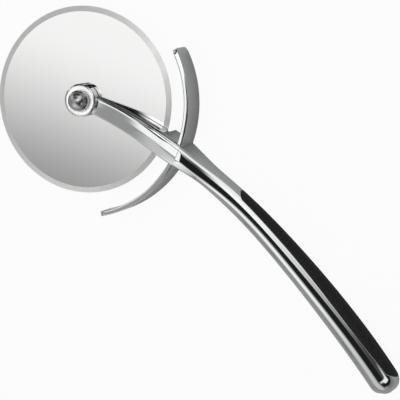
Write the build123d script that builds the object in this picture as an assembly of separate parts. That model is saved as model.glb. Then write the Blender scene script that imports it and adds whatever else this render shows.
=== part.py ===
from build123d import *
import math
import os

# Wheel. The model is worked out about the wheel's centre, with the blade's middle plane at zero
# height, +Z along the axle toward the arm's side and +X toward the end of the handle.
blade_diameter = 100.0
blade_thickness = 1.2
bevel_width = 2.9
rim_edge_thickness = 0.3
bush_diameter = 10.0
bush_flange_diameter = 14.0
bush_flange_thickness = 0.8

# Axle and washers
shoulder_diameter = 6.0
running_clearance = 0.05
side_play = 0.1
head_diameter = 12.0
head_height = 1.8
head_edge_radius = 0.6
key_recess_width = 3.0
key_recess_depth = 1.0
thread_diameter = 4.0
thread_clearance = 0.2
thread_engagement = 2.6
near_washer_diameter = 14.0
near_washer_thickness = 0.5
far_washer_diameter = 13.0
far_washer_thickness = 0.4
spring_washer_diameter = 11.4
spring_washer_thickness = 0.25
spring_washer_rise = 0.25
seat_clearance = 0.02

# Hub boss with its ring and ball nut
boss_diameter = 17.7
boss_height = 5.1
boss_edge_radius = 0.9
boss_floor_thickness = 2.7
ring_diameter = 15.8
ring_fit_clearance = 0.05
ring_rim_drop = 0.35
ring_inner_thickness = 1.4
ball_diameter = 11.5
ball_waist_rise = 1.85
spigot_diameter = 6.2

# Casting: the line that its middle follows, from the hub to the neck and on to the handle's end
rim_clearance = 1.5
neck_angle = 14.4
neck_slope = 6.6
hub_slope = 20.4
handle_reach = 155.8
crown_height = 17.8
end_slope = 14.2
arm_line_shares = [(0.0, 0.02), (0.198, 0.296), (0.545, 0.695), (0.892, 0.945), (1.0, 1.0)]
handle_line_shares = [(0.125, 0.961), (0.253, 1.0), (0.497, 0.876), (0.767, 0.556), (1.0, 0.135)]

# Casting sections. Each has a flat back, a crease on each side and a narrower front, so it is a
# six-sided outline with round corners. Widths are shares of half the casting's width, heights and
# radii are shares of half its depth: back height, back width, crease width, crease height,
# front width, front height, back radius, crease radius, front radius.
casting_width = 21.8
casting_depth = 16.4
lead_in = 4.0
arm_station_shares = [
    (0.034, 0.56, 0.29, 0.31, -0.07, 0.22, -0.61, 0.14, 0.11, 0.08),
    (0.204, 0.62, 0.40, 0.42, -0.05, 0.35, -0.63, 0.18, 0.14, 0.12),
    (0.553, 0.77, 0.81, 0.835, 0.035, 0.70, -0.65, 0.29, 0.18, 0.15),
    (0.895, 0.78, 0.975, 1.0, 0.035, 0.88, -0.71, 0.33, 0.19, 0.18),
    (1.0, 0.76, 0.975, 1.0, 0.025, 0.89, -0.69, 0.32, 0.19, 0.20),
]
neck_start_shares = (0.74, 0.965, 1.0, -0.03, 0.86, -0.68, 0.30, 0.18, 0.20)
neck_station_shares = [
    (0.048, 0.65, 0.86, 0.91, -0.15, 0.74, -0.62, 0.36, 0.25, 0.20),
    (0.099, 0.64, 0.69, 0.75, -0.24, 0.53, -0.60, 0.42, 0.35, 0.28),
]
waist_station_shares = [
    (0.175, 0.685, 0.56, 0.625, -0.25, 0.33, -0.68, 0.50, 0.45, 0.38),
    (0.29, 0.73, 0.55, 0.615, -0.20, 0.31, -0.75, 0.58, 0.55, 0.40),
]
grip_station_shares = [
    (0.558, 0.845, 0.62, 0.70, -0.28, 0.37, -0.87, 0.74, 0.62, 0.475),
    (0.829, 0.88, 0.675, 0.765, -0.28, 0.40, -0.96, 0.72, 0.62, 0.525),
    (1.0, 0.87, 0.67, 0.76, -0.26, 0.40, -0.96, 0.70, 0.62, 0.525),
]
neck_flare = 1.1
rest_flat_depth = 0.2

# Finger guard: a crescent band round the wheel
guard_gap = 10.0
guard_thickness = 2.6
guard_side_wall = 1.5
guard_angle = 14.7
guard_half_angle = 53.5
guard_tip_narrowing = 1.4
guard_tip_corner = 3.0

# Screws that clamp the guard between the arm and the handle
screw_diameter = 3.0
screw_clearance = 0.3
screw_head_diameter = 5.5
screw_head_height = 3.0
screw_socket_width = 2.5
screw_socket_depth = 1.3
screw_grip = 3.0
screw_length = 14.0
screw_spacing = 6.2
screw_offset = 5.2
screw_hole_spare = 1.0

# Soft inlay, its rigid carrier and their pocket in the back of the handle
inlay_start = 36.0
inlay_length = 124.5
inlay_width = 15.2
inlay_front_round = 5.0
inlay_rear_round = 6.0
inlay_front_share = 0.71
inlay_rear_share = 0.91
inlay_side_shares = [(0.15, 0.775), (0.36, 0.85), (0.55, 0.93), (0.74, 0.99), (0.88, 0.975)]
inlay_clearance = 0.06
ledge_height = 2.2
carrier_end_margin = 9.0
carrier_side_margin = 2.4
carrier_top_drop = 0.6
carrier_thickness = 2.2
peg_diameter = 4.0
peg_length = 3.0
peg_clearance = 0.1
peg_place_shares = [0.16, 0.51, 0.86]

# One overrun serves every cut
overrun = 2.0

blade_radius = blade_diameter / 2
half_blade = blade_thickness / 2
near_gap = near_washer_thickness + side_play
arm_back = half_blade + near_gap
boss_front = arm_back + boss_height
boss_floor = arm_back + boss_floor_thickness
ring_top = boss_floor + ring_inner_thickness
thread_end = ring_top + thread_engagement
shoulder_radius = shoulder_diameter / 2
flange_back = -half_blade - bush_flange_thickness
far_washer_front = flange_back - side_play
spring_front = far_washer_front - far_washer_thickness - seat_clearance
head_front = spring_front - spring_washer_thickness - spring_washer_rise - seat_clearance
head_back = head_front - head_height
root_radius = blade_radius + rim_clearance
guard_inner = blade_radius + guard_gap
guard_outer = guard_inner + guard_thickness
half_width = casting_width / 2
half_depth = casting_depth / 2
rest_half_width = half_width - rest_flat_depth
guard_half_width = rest_half_width - guard_side_wall


def point_at(x, y):
    return Vector(x, y, 0)


def direction(angle):
    return Vector(math.cos(math.radians(angle)), math.sin(math.radians(angle)), 0)


def ring(outer_radius, inner_radius, low, high):
    """A flat ring about the wheel's axle between two heights."""
    face = Circle(outer_radius) - Circle(inner_radius)
    return Pos(0, 0, low) * extrude(face, high - low)


def disc(radius, low, high):
    """A plain cylinder about the wheel's axle between two heights."""
    return Pos(0, 0, low) * extrude(Circle(radius), high - low)


def turned(*corners):
    """A body turned about the wheel's axle from the corners of half its section."""
    outline = Polyline([(radius, height) for radius, height in corners], close=True)
    return revolve(Plane.XZ * make_face(outline), Axis.Z)


joint = direction(neck_angle) * guard_outer
arm_points = [point_at(joint.X * along, joint.Y * up) for along, up in arm_line_shares]
arm_line = Spline(arm_points, tangents=[direction(hub_slope), direction(neck_slope)])
handle_points = [joint]
handle_points += [
    point_at(joint.X + handle_reach * along, crown_height * up) for along, up in handle_line_shares
]
handle_line = Spline(handle_points, tangents=[direction(neck_slope), direction(-end_slope)])
casting_reach = guard_outer + handle_reach + casting_depth


def section_plane(origin, tangent):
    """Plane square to the casting's line, its x along the axle and its y toward the back."""
    return Plane(origin=origin, x_dir=(0, 0, 1), z_dir=-tangent)


def line_plane(line, share):
    return section_plane(line @ share, line % share)


def section(plane, shares, flare=0):
    """Six-sided casting section with round corners on the given plane."""
    back, back_w, crease_w, crease, front_w, front, back_r, crease_r, front_r = shares
    half = half_width + flare
    corners = [
        (half * back_w, half_depth * back),
        (half * crease_w, half_depth * crease),
        (half * front_w, half_depth * front),
    ]
    radii = [half_depth * share for share in (back_r, crease_r, front_r)]
    mirrored = [(-x, y) for x, y in reversed(corners)]
    outline = FilletPolyline(*corners, *mirrored, radius=radii + radii[::-1], close=True)
    return make_face(plane * outline)


def stations(line, table):
    """Sections along a line, one for each row of a table."""
    return [section(line_plane(line, row[0]), row[1:]) for row in table]


def rest_slab():
    """The two flats that the neck is ground to, as one slab that the casting is kept within."""
    return Box(casting_reach * 2, casting_reach * 2, rest_half_width * 2)


def arm_form():
    """Loft from the hub to just past the joint with the handle."""
    sections = stations(arm_line, arm_station_shares)
    neck = line_plane(arm_line, 1)
    beyond = section_plane(neck.origin - neck.z_dir * lead_in, -neck.z_dir)
    sections.append(section(beyond, arm_station_shares[-1][1:]))
    return loft(sections) & rest_slab()


def handle_form():
    """Neck loft, grip loft and the end turned round on the last section."""
    neck = line_plane(arm_line, 1)
    before = section_plane(neck.origin + neck.z_dir * lead_in, -neck.z_dir)
    first = section(before, neck_start_shares, neck_flare)
    neck_stations = stations(handle_line, neck_station_shares)
    waist_stations = stations(handle_line, waist_station_shares)
    grip_stations = stations(handle_line, grip_station_shares)
    waist = line_plane(handle_line, waist_station_shares[0][0])
    neck_loft = split(loft([first] + neck_stations + waist_stations), waist, keep=Keep.TOP)
    grip_loft = loft(waist_stations + grip_stations)
    tip = line_plane(handle_line, 1)
    near_half = tip * Pos(half_width, 0) * Rectangle(casting_width, casting_width * 2)
    round_end = revolve(grip_stations[-1] & near_half, Axis(tip.origin, tip.y_dir), 180)
    return (neck_loft + grip_loft + round_end) & rest_slab()


def screw_places():
    """Places of the two clamp screws on the joint, looking along the neck into the handle."""
    along_neck = Plane(origin=joint, x_dir=(0, 0, 1), z_dir=direction(neck_slope))
    return [along_neck * Pos(-screw_offset, side * screw_spacing / 2) for side in (-1, 1)]


def screw_group(diameter, low, high):
    """Cylinders along both clamp screws, between two distances past the joint."""
    return [
        place * Pos(0, 0, low) * extrude(Circle(diameter / 2), high - low) for place in screw_places()
    ]


screw_seat = -guard_thickness - screw_grip
screw_tip = screw_seat + screw_length


def clamp_screws():
    """Two cap screws with a hexagon socket in each head, as one group."""
    shanks = screw_group(screw_diameter, screw_seat, screw_tip)
    heads = screw_group(screw_head_diameter, screw_seat - screw_head_height, screw_seat)
    socket = extrude(RegularPolygon(screw_socket_width / 2, 6, major_radius=False), screw_socket_depth)
    screws = []
    for place, shank, head in zip(screw_places(), shanks, heads):
        screws.append(shank + head - place * Pos(0, 0, screw_seat - screw_head_height) * socket)
    return Compound(children=screws)


def guard_band():
    """Crescent band: part of a ring about the axle, narrower toward its round-cornered tips."""
    middle = (guard_inner + guard_outer) / 2
    strip = Plane.XZ * Pos(middle, 0) * Rectangle(guard_thickness, guard_half_width * 2)
    sector = revolve(strip, Axis.Z, guard_half_angle * 2)
    sector = Rot(0, 0, -guard_half_angle) * sector
    tip_half_width = guard_half_width - guard_tip_narrowing
    side = [(-guard_outer, tip_half_width), (0, guard_half_width), (guard_outer, tip_half_width)]
    far_side = [(x, -y) for x, y in reversed(side)]
    taper = extrude(Plane.YZ * make_face(Polyline(side + far_side, close=True)), guard_outer)
    band = sector & taper
    tip_edges = [edge for edge in band.edges() if is_tip_edge(edge)]
    band = fillet(tip_edges, guard_tip_corner)
    return Rot(0, 0, guard_angle) * band


def is_tip_edge(edge):
    """Whether an edge of the unturned band is one of the four short ones across its tips."""
    return edge.length < guard_thickness * 2 and abs((edge @ 0.5).Z) > guard_half_width / 2


def finger_guard():
    band = guard_band()
    for hole in screw_group(screw_diameter + screw_clearance, screw_seat, screw_tip):
        band -= hole
    return band


def arm_casting():
    """One-sided arm with the hub boss, and the full-depth root outside the wheel's rim."""
    arm = arm_form() & disc(guard_outer, -casting_width, casting_width)
    arm -= disc(root_radius, -casting_width, arm_back)
    boss = disc(boss_diameter / 2, arm_back, boss_front)
    arm += fillet(boss.edges().group_by(Axis.Z)[-1], boss_edge_radius)
    arm -= disc(ring_diameter / 2 + ring_fit_clearance, boss_floor, boss_front + overrun)
    arm -= disc(thread_diameter / 2 + thread_clearance, 0, boss_front)
    arm -= guard_band()
    for hole in screw_group(screw_diameter + screw_clearance, screw_seat, overrun):
        arm -= hole
    for bore in screw_group(screw_head_diameter + screw_clearance, -guard_inner, screw_seat):
        arm -= bore
    return arm


def plan_outline(end_margin, side_margin):
    """Long outline of the inlay seen on the handle's back, drawn in by the two margins."""
    start = joint.X + inlay_start + end_margin
    end = start + inlay_length - end_margin * 2
    half = inlay_width / 2 - side_margin
    front, rear = start + inlay_front_round, end - inlay_rear_round
    front_end = EllipticalCenterArc((front, 0), inlay_front_round, half * inlay_front_share, 90)
    rear_end = EllipticalCenterArc((rear, 0), inlay_rear_round, half * inlay_rear_share)
    points = [(front, half * inlay_front_share)]
    points += [(front + (rear - front) * along, half * out) for along, out in inlay_side_shares]
    points.append((rear, half * inlay_rear_share))
    edges = [front_end, Spline(points), rear_end]
    return make_face(edges + [edge.mirror(Plane.XZ) for edge in edges])


def inlay_prism(end_margin, side_margin):
    """The plan outline carried through the handle from back to front."""
    outline = Plane.XZ * plan_outline(end_margin, side_margin)
    return extrude(outline, casting_reach, both=True)


def above_line(height):
    """Everything farther back than the handle's line raised by the given height."""
    floor = Pos(0, height) * handle_line
    far_end = floor @ 1 + (floor % 1) * casting_depth
    top = crown_height + casting_depth
    corners = [floor @ 1, far_end, point_at(far_end.X, top), point_at((floor @ 0).X, top), floor @ 0]
    region = make_face([floor, Polyline(corners)])
    return extrude(region, casting_width, both=True)


carrier_top = ledge_height - carrier_top_drop
carrier_floor = carrier_top - carrier_thickness


def pegs(diameter, length):
    """Pegs square to the plan, from inside the carrier down by the given length."""
    outline = [
        Pos(joint.X + inlay_start + inlay_length * along) * Circle(diameter / 2)
        for along in peg_place_shares
    ]
    columns = extrude(Plane.XZ * Sketch(children=outline), casting_reach, both=True)
    return columns & above_line(carrier_floor - length) - above_line(carrier_top)


def grip_carrier():
    """Rigid core of the inlay, with three pegs."""
    carrier = inlay_prism(carrier_end_margin + inlay_clearance, carrier_side_margin + inlay_clearance)
    carrier &= above_line(carrier_floor) - above_line(carrier_top)
    return carrier + pegs(peg_diameter, peg_length)


def grip_inlay(whole_handle):
    """Soft strip, flush with the casting round it, with a key down to the carrier."""
    strip = inlay_prism(inlay_clearance, inlay_clearance) & above_line(ledge_height)
    key = inlay_prism(carrier_end_margin + inlay_clearance, carrier_side_margin + inlay_clearance)
    return whole_handle & (strip + (key & above_line(carrier_top)))


def handle_casting(whole_handle):
    """Neck and handle with the stepped pocket, the peg holes and the holes for the clamp screws."""
    handle = whole_handle - disc(guard_outer, -casting_width, casting_width)
    handle -= inlay_prism(0, 0) & above_line(ledge_height)
    handle -= inlay_prism(carrier_end_margin, carrier_side_margin) & above_line(carrier_floor)
    handle -= pegs(peg_diameter + peg_clearance * 2, peg_length + peg_clearance)
    for hole in screw_group(screw_diameter, -overrun, screw_tip + screw_hole_spare):
        handle -= hole
    return handle


def blade():
    """Disc with a ground bevel on both faces of its rim."""
    flat = blade_radius - bevel_width
    half_edge = rim_edge_thickness / 2
    bore = bush_diameter / 2
    return turned(
        (bore, -half_blade), (flat, -half_blade), (blade_radius, -half_edge),
        (blade_radius, half_edge), (flat, half_blade), (bore, half_blade),
    )


def hub_bushing():
    """Flanged bush pressed in the blade, running on the bolt's shoulder."""
    bore = shoulder_radius + running_clearance
    body = bush_diameter / 2
    flange = bush_flange_diameter / 2
    return turned(
        (bore, half_blade), (body, half_blade), (body, -half_blade),
        (flange, -half_blade), (flange, flange_back), (bore, flange_back),
    )


def axle_bolt():
    """Shoulder bolt with a low round head and a hexagon recess."""
    head = head_diameter / 2
    thread = thread_diameter / 2
    bolt = turned(
        (0, head_back), (head, head_back), (head, head_front), (shoulder_radius, head_front),
        (shoulder_radius, arm_back), (thread, arm_back), (thread, thread_end), (0, thread_end),
    )
    bolt = fillet(bolt.edges().group_by(Axis.Z)[0], head_edge_radius)
    recess = extrude(RegularPolygon(key_recess_width / 2, 6, major_radius=False), key_recess_depth)
    return bolt - Pos(0, 0, head_back) * recess


def near_washer():
    bore = shoulder_radius + running_clearance
    return ring(near_washer_diameter / 2, bore, arm_back - near_washer_thickness, arm_back)


def far_washer():
    bore = shoulder_radius + running_clearance
    return ring(far_washer_diameter / 2, bore, far_washer_front - far_washer_thickness, far_washer_front)


def spring_washer():
    """Ring bent about one line, so that its middle bears one way and its two edges the other."""
    outer = spring_washer_diameter / 2
    low = head_front + seat_clearance
    high = low + spring_washer_rise
    under = ThreePointArc((-outer, low), (0, high), (outer, low))
    over = Pos(0, spring_washer_thickness) * under
    ends = [Line(under @ 0, over @ 0), Line(under @ 1, over @ 1)]
    strip = extrude(Plane.YZ * make_face([under, over] + ends), outer, both=True)
    return strip & ring(outer, shoulder_radius + running_clearance, low, spring_front)


def bezel_ring():
    """Polished ring let into the boss, flat under the ball nut and rising to its rim."""
    bore = spigot_diameter / 2 + ring_fit_clearance
    rim = ring_diameter / 2
    return turned(
        (bore, boss_floor), (rim, boss_floor), (rim, boss_front - ring_rim_drop),
        (ball_diameter / 2, ring_top), (bore, ring_top),
    )


def ball_nut():
    """Ball on a spigot, flat where it bears on the ring, with a blind hole for the bolt's thread."""
    waist = ring_top + ball_waist_rise
    radius = ball_diameter / 2
    underside = math.sqrt(radius**2 - ball_waist_rise**2)
    dome = ThreePointArc((underside, ring_top), (radius, waist), (0, waist + radius))
    spigot = spigot_diameter / 2
    foot = boss_floor + seat_clearance
    bore = thread_diameter / 2
    bore_end = thread_end + seat_clearance
    edge = Polyline(
        (underside, ring_top), (spigot, ring_top), (spigot, foot), (bore, foot),
        (bore, bore_end), (0, bore_end), (0, waist + radius),
    )
    return revolve(Plane.XZ * make_face([dome, edge]), Axis.Z)


handle_whole = handle_form()
nodes = {
    "arm_casting": arm_casting(),
    "handle_casting": handle_casting(handle_whole),
    "finger_guard": finger_guard(),
    "clamp_screws": clamp_screws(),
    "grip_inlay": grip_inlay(handle_whole),
    "grip_carrier": grip_carrier(),
    "bezel_ring": bezel_ring(),
    "ball_nut": ball_nut(),
    "axle_bolt": axle_bolt(),
    "near_washer": near_washer(),
    "spring_washer": spring_washer(),
    "far_washer": far_washer(),
    "blade": blade(),
    "hub_bushing": hub_bushing(),
}

# The origin is the middle of the underside of the whole object, which is the neck's lower flat
boxes = [node.bounding_box() for node in nodes.values()]
low_x, high_x = min(box.min.X for box in boxes), max(box.max.X for box in boxes)
low_y, high_y = min(box.min.Y for box in boxes), max(box.max.Y for box in boxes)
high_z = max(box.max.Z for box in boxes)
placement = Pos(-(low_x + high_x) / 2, -(low_y + high_y) / 2, rest_half_width)
print("overall", high_x - low_x, high_y - low_y, high_z + rest_half_width)
print("wheel centre", placement.position)

os.makedirs("parts", exist_ok=True)
for name, node in nodes.items():
    export_step(placement * node, f"parts/{name}.step")
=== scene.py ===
import math

import bmesh
import bpy
import numpy as np
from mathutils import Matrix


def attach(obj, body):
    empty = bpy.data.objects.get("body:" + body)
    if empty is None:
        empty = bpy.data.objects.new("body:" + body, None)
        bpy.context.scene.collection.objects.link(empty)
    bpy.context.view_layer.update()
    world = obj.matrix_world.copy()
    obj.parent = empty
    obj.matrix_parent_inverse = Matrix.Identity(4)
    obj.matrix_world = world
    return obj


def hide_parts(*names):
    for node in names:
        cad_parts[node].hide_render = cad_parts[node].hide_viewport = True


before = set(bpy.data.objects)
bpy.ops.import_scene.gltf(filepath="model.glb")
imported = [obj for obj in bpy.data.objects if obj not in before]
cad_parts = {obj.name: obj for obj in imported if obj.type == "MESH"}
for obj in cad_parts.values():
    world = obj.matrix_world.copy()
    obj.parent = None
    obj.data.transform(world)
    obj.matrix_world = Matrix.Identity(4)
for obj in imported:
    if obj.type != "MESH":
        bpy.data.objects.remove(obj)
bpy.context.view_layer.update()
scene = bpy.context.scene

# ---------------------------------------------------------------- handle casting
# One zinc die casting, polished and chrome plated: the neck, the slim waist and the swelling grip.
# Its six-sided sections with round corners stand square to one curved line, and its back is hollowed
# for the soft inlay. Two screws from the arm's root hold it against the finger guard.
WHEEL = np.array([-87.2943, -4.06161, 10.7])
GUARD_OUTER = 62.6
NECK_ANGLE, NECK_SLOPE, END_SLOPE, LEAD_IN = 14.4, 6.6, 14.2, 4.0
HALF_WIDTH, HALF_DEPTH, REST_HALF, NECK_FLARE = 10.9, 8.2, 10.7, 1.1
HANDLE_REACH, CROWN_HEIGHT = 155.8, 17.8
HANDLE_LINE = [(0.125, 0.961), (0.253, 1.0), (0.497, 0.876), (0.767, 0.556), (1.0, 0.135)]
# each row: place along the line, back height, back width, crease width, crease height,
# front width, front height, then the radii of the back, crease and front corners
HANDLE_START = (0.74, 0.965, 1.0, -0.03, 0.86, -0.68, 0.30, 0.18, 0.20)
HANDLE_STATIONS = [
    (0.048, 0.65, 0.86, 0.91, -0.15, 0.74, -0.62, 0.36, 0.25, 0.20),
    (0.099, 0.64, 0.69, 0.75, -0.24, 0.53, -0.60, 0.42, 0.35, 0.28),
    (0.175, 0.685, 0.56, 0.625, -0.25, 0.33, -0.68, 0.50, 0.45, 0.38),
    (0.29, 0.73, 0.55, 0.615, -0.20, 0.31, -0.75, 0.58, 0.55, 0.40),
    (0.558, 0.845, 0.62, 0.70, -0.28, 0.37, -0.87, 0.74, 0.62, 0.475),
    (0.829, 0.88, 0.675, 0.765, -0.28, 0.40, -0.96, 0.72, 0.62, 0.525),
    (1.0, 0.87, 0.67, 0.76, -0.26, 0.40, -0.96, 0.70, 0.62, 0.525),
]
INLAY_START, INLAY_LENGTH, INLAY_WIDTH = 36.0, 124.5, 15.2
INLAY_ROUNDS = (5.0, 6.0)
INLAY_SIDES = [
    (0.0, 0.71), (0.15, 0.775), (0.36, 0.85), (0.55, 0.93), (0.74, 0.99), (0.88, 0.975), (1.0, 0.91),
]
LEDGE, CARRIER_FLOOR = 2.2, -0.6
CARRIER_MARGINS = (9.0, 2.4)
PEG_PLACES, PEG_HOLE_RADIUS, PEG_HOLE_DEPTH = (0.16, 0.51, 0.86), 2.1, 3.1
SCREW_OFFSET, SCREW_SPACING = 5.2, 6.2
SCREW_HOLE_RADIUS, SCREW_HOLE_END = 1.5, 9.4
# how far cutting tools stand clear of the metal: across the wheel's plane, over the pocket, over a bore
CLEAR, POCKET_CLEAR, BORE_CLEAR = 20, 60.0, 2
# edges sharper than this angle in degrees show as edges, and points closer than WELD metres are joined
SHARP, WELD, SLIVER = 32, 2e-7, 1e-7
# steps round the guard, along a line, along the inlay's side and round each of its ends
GUARD_STEPS, LINE_STEPS, INLAY_STEPS, ROUND_STEPS = 480, 4001, 120, 13
# the line is read at this many places, up to this share of its length
READ_STEPS, READ_TO = 400, 1.1


def direction(angle):
    """Unit vector (cos, sin) in the wheel's plane at an angle in degrees from +X."""
    return np.array([math.cos(math.radians(angle)), math.sin(math.radians(angle))])


def smooth(knots, values, at, first=None, last=None):
    """Cubic curve through values at knots with unbroken slope and bend: each knot's slope solves the
    three-term system, and at an end the slope is given or the bend is nil."""
    knots, values, at = np.asarray(knots, float), np.asarray(values, float), np.asarray(at, float)
    gap = np.diff(knots)
    rise = np.diff(values, axis=0) / gap[:, None]
    count = len(knots)
    system, right = np.zeros((count, count)), np.zeros_like(values)
    mid = np.arange(1, count - 1)
    system[mid, mid - 1], system[mid, mid + 1] = gap[1:], gap[:-1]
    system[mid, mid] = 2 * (gap[:-1] + gap[1:])
    right[1:-1] = 3 * (gap[1:, None] * rise[:-1] + gap[:-1, None] * rise[1:])
    system[0, :2], right[0] = ((2, 1), 3 * rise[0]) if first is None else ((1, 0), first)
    system[-1, -2:], right[-1] = ((1, 2), 3 * rise[-1]) if last is None else ((0, 1), last)
    slope = np.linalg.solve(system, right)
    k = np.clip(np.searchsorted(knots, at, side="right") - 1, 0, count - 2)
    u = ((at - knots[k]) / gap[k])[:, None]
    h = gap[k][:, None]
    return (
        values[k] * (1 + 2 * u) * (1 - u) ** 2
        + values[k + 1] * u**2 * (3 - 2 * u)
        + slope[k] * h * u * (1 - u) ** 2
        - slope[k + 1] * h * u**2 * (1 - u)
    )


def curved_line(points, start, end, shares):
    """Places and directions at shares of the length of a smooth curve through the points, which sets
    off and arrives at the two angles. A share outside 0 to 1 runs straight on."""
    points = np.asarray(points, float)
    chord = np.concatenate([[0], np.cumsum(np.linalg.norm(np.diff(points, axis=0), axis=1))])
    fine = np.linspace(0, chord[-1], LINE_STEPS)
    track = smooth(chord, points, fine, direction(start), direction(end))
    run = np.concatenate([[0], np.cumsum(np.linalg.norm(np.diff(track, axis=0), axis=1))])
    heading = np.gradient(track, run, axis=0)
    wanted = np.asarray(shares, float) * run[-1]
    inside = np.clip(wanted, 0, run[-1])
    place = np.stack([np.interp(inside, run, track[:, i]) for i in range(2)], 1)
    along = np.stack([np.interp(inside, run, heading[:, i]) for i in range(2)], 1)
    along /= np.linalg.norm(along, axis=1)[:, None]
    return place + along * (wanted - inside)[:, None], along, run[-1]


def section_rings(rows, flare, arc=8, flat=3):
    """Rings of (across, back) points, one for each row of section numbers. Each corner is an arc that
    touches both of its sides at radius / tan(half the corner's angle) from the corner, and flat
    points stand evenly on each side between two arcs. A ring starts at the middle of its back."""
    rows = np.asarray(rows, float)
    half = (HALF_WIDTH + np.asarray(flare, float))[:, None]
    wide = np.stack([rows[:, 1], rows[:, 2], rows[:, 4]], 1) * half
    high = np.stack([rows[:, 0], rows[:, 3], rows[:, 5]], 1) * HALF_DEPTH
    right = np.stack([wide, high], 2)
    corner = np.concatenate([right, right[:, ::-1] * (-1, 1)], 1)
    radius = rows[:, 6:9] * HALF_DEPTH
    radius = np.concatenate([radius, radius[:, ::-1]], 1)[..., None]
    before, after = np.roll(corner, 1, 1) - corner, np.roll(corner, -1, 1) - corner
    before /= np.linalg.norm(before, axis=2)[..., None]
    after /= np.linalg.norm(after, axis=2)[..., None]
    half_angle = np.arccos(np.clip((before * after).sum(2), -1, 1))[..., None] / 2
    inward = before + after
    inward /= np.linalg.norm(inward, axis=2)[..., None]
    centre = corner + inward * radius / np.sin(half_angle)
    turn = np.linspace(-1, 1, arc)[:, None] * (math.pi / 2 - half_angle)[:, :, None]
    side = np.stack([-inward[..., 1], inward[..., 0]], 2)
    side *= np.sign((side * after).sum(2))[..., None]
    arcs = centre[:, :, None] + radius[:, :, None] * (
        -inward[:, :, None] * np.cos(turn) + side[:, :, None] * np.sin(turn)
    )
    leave, reach = arcs[:, :, -1], np.roll(arcs[:, :, 0], -1, 1)
    step = (np.arange(1, flat + 1) / (flat + 1))[:, None]
    flats = leave[:, :, None] * (1 - step) + reach[:, :, None] * step
    ring = np.concatenate([arcs, flats], 2).reshape(len(rows), -1, 2)
    return np.roll(ring, (flat + 1) // 2, 1)


def on_line(place, along, ring):
    """Ring points set square to the line: across goes up the axle, back goes to the line's left. What
    would stand past the two ground rest flats is cut level with them."""
    left = np.stack([-along[:, 1], along[:, 0]], 1)
    flat = place[:, None] + left[:, None] * ring[..., 1:]
    return np.concatenate([flat, np.clip(ring[..., :1], -REST_HALF, REST_HALF)], 2)


def quads(rows, columns, around=False):
    """Four-sided faces between neighbouring rows and columns of points numbered row by row."""
    last = columns if around else columns - 1
    i, j = np.meshgrid(np.arange(rows - 1), np.arange(last), indexing="ij")
    k = (j + 1) % columns
    face = np.stack([i * columns + j, i * columns + k, (i + 1) * columns + k, (i + 1) * columns + j], 2)
    return face.reshape(-1, 4).tolist()


def capped(rings):
    """A row of rings with a flat face on each end."""
    count, around = rings.shape[:2]
    ends = [list(range(around)), list(range((count - 1) * around, count * around))]
    return rings, quads(count, around, around=True) + ends


def make_piece(name, parts, sharp=SHARP):
    """Object from (points in mm about the wheel's centre, faces) pairs: points that meet are joined,
    faces are turned outward, and an edge whose faces differ by more than the angle stays sharp."""
    points, faces = [], []
    for part_points, part_faces in parts:
        start = sum(len(p) for p in points)
        points.append(part_points.reshape(-1, 3))
        faces += [[v + start for v in face] for face in part_faces]
    mesh = bpy.data.meshes.new(name)
    mesh.from_pydata(((np.concatenate(points) + WHEEL) / 1000).tolist(), [], faces)
    shell = bmesh.new()
    shell.from_mesh(mesh)
    bmesh.ops.remove_doubles(shell, verts=shell.verts, dist=WELD)
    bmesh.ops.dissolve_degenerate(shell, edges=shell.edges, dist=SLIVER)
    bmesh.ops.recalc_face_normals(shell, faces=shell.faces)
    shell.to_mesh(mesh)
    shell.free()
    piece = bpy.data.objects.new(name, mesh)
    scene.collection.objects.link(piece)
    soften(piece, sharp)
    return piece


def soften(piece, sharp):
    """Smooth shading, with edges over the angle in degrees kept sharp."""
    piece.data.shade_smooth()
    piece.data.set_sharp_from_angle(angle=math.radians(sharp))


def machine(piece, *cuts):
    """Cuts, adds or keeps in turn: each of the cuts is an operation and the tool's shape."""
    for operation, tool in cuts:
        step = piece.modifiers.new("step", "BOOLEAN")
        step.operation, step.object, step.solver = operation, tool, "EXACT"
        done = bpy.data.meshes.new_from_object(
            piece.evaluated_get(bpy.context.evaluated_depsgraph_get())
        )
        piece.modifiers.clear()
        old, piece.data = piece.data, done
        bpy.data.meshes.remove(old)
        bpy.data.objects.remove(tool)
    piece.data.name = piece.name
    soften(piece, SHARP)


def turned(name, outline, steps, sharp=SHARP):
    """Closed body of revolution: (radius, height) points of half its section carried round the axle."""
    outline = np.asarray(outline, float)
    turn = np.linspace(0, 2 * math.pi, steps, endpoint=False)
    ring = np.stack([np.cos(turn), np.sin(turn)], 1)
    height = np.broadcast_to(outline[:, None, 1:], (len(outline), steps, 1))
    points = np.concatenate([outline[:, None, :1] * ring[None], height], 2)
    closed = np.concatenate([points, points[:1]], 0)
    return make_piece(name, [(closed, quads(len(closed), steps, around=True))], sharp)


def column(centre, axis, radius, low, high, steps=40):
    """Closed cylinder from low to high along an axis through a centre, as a tool for a bore."""
    centre, axis = np.append(centre, 0)[:3].astype(float), np.append(axis, 0)[:3].astype(float)
    side = np.array([0.0, 0.0, 1.0])
    turn = np.linspace(0, 2 * math.pi, steps, endpoint=False)[:, None]
    ring = centre + radius * (np.cos(turn) * side + np.sin(turn) * np.cross(axis, side))
    return make_piece("bore", [capped(np.stack([ring + axis * low, ring + axis * high]))])


def screw_bores(radius, low, high):
    """Tools for the two clamp screws' bores, between two distances past the joint along the neck."""
    ahead = direction(NECK_SLOPE)
    left = np.array([-ahead[1], ahead[0]])
    places = [np.append(JOINT + left * side * SCREW_SPACING / 2, -SCREW_OFFSET) for side in (-1, 1)]
    return [("DIFFERENCE", column(place, ahead, radius, low, high)) for place in places]


def grip_height(x):
    """Height of the handle's line above the wheel's centre at a distance x along the object."""
    track = curved_line(handle_points, NECK_SLOPE, -END_SLOPE, np.linspace(0, READ_TO, READ_STEPS))[0]
    return np.interp(x, track[:, 0], track[:, 1])


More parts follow.
